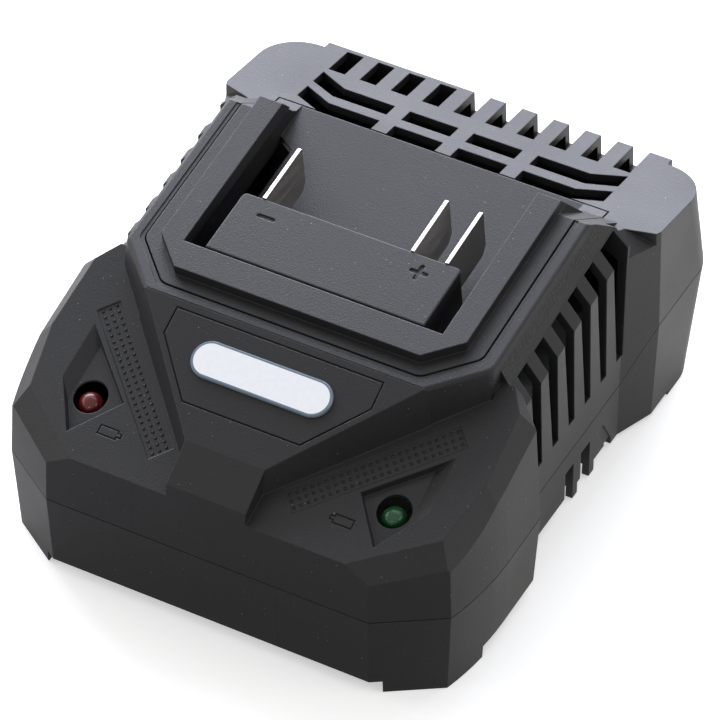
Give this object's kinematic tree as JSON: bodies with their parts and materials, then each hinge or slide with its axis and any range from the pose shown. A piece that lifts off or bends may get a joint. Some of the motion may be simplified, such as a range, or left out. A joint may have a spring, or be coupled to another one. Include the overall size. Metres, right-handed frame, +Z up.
{
  "type": "power tool battery charger",
  "caption": "Compact slide-on battery charger: sloped charcoal case, raised bay with contact blades, two indicator lamps, vented deck and rear mains inlet.",
  "frame": {"origin": "centre of the footprint, on the ground under the feet", "axes": "+X to the right seen from the front, +Y to the rear where the inlet is, +Z up"},
  "size_m": [0.1084, 0.1302, 0.0657],
  "materials": {
    "housing": "finely textured charcoal moulding",
    "housing_block": "smooth charcoal moulding",
    "plated_blade": "nickel-plated strip",
    "red_lens": "clear tinted epoxy",
    "green_lens": "clear tinted epoxy",
    "tinned_leg": "tinned",
    "black_nylon": "matt",
    "badge_face": "blank white face with a grey rim",
    "circuit_board": "solder-masked laminate",
    "zinc_screw": "zinc plated",
    "ferrite": "sintered, matt",
    "taped_winding": "yellow tape",
    "enamelled_wire": "enamelled copper",
    "capacitor_sleeve": "shrink sleeve",
    "sink_metal": "mill finish",
    "moulded_epoxy": "matt",
    "film_box": "boxed film capacitor",
    "fuse_glass": "clear tube",
    "fuse_metal": "nickel-plated brass",
    "inlet_plastic": "matt",
    "lead_sheath": "flexible sheath",
    "blank_label": "blank label"
  },
  "bodies": {
    "root": {"badge_plate": "badge_face", "bay_insert": "housing", "blade_negative": "plated_blade", "blade_positive": "plated_blade", "blade_signal": "plated_blade", "board_screws": "zinc_screw", "bottom_cover": "housing", "bridge_rectifier": "moulded_epoxy", "bulk_capacitor": "capacitor_sleeve", "choke_core": "ferrite", "choke_winding": "enamelled_wire", "control_chips": "moulded_epoxy", "device_screws": "zinc_screw", "fuse_caps": "fuse_metal", "fuse_tube": "fuse_glass", "housing_screws": "zinc_screw", "inlet_leads": "lead_sheath", "inlet_pins": "fuse_metal", "input_heat_sink": "sink_metal", "lamp_green": "green_lens", "lamp_legs_green": "tinned_leg", "lamp_legs_red": "tinned_leg", "lamp_red": "red_lens", "lamp_spacer_green": "black_nylon", "lamp_spacer_red": "black_nylon", "line_capacitor": "film_box", "main_board": "circuit_board", "mains_inlet": "inlet_plastic", "output_capacitors": "capacitor_sleeve", "output_heat_sink": "sink_metal", "output_leads": "lead_sheath", "output_rectifier": "moulded_epoxy", "rating_plate": "blank_label", "switching_transistor": "moulded_epoxy", "terminal_block": "housing_block", "top_cover": "housing", "transformer_bobbin": "black_nylon", "transformer_core": "ferrite", "transformer_winding": "taped_winding"}
  },
  "joints": []
}
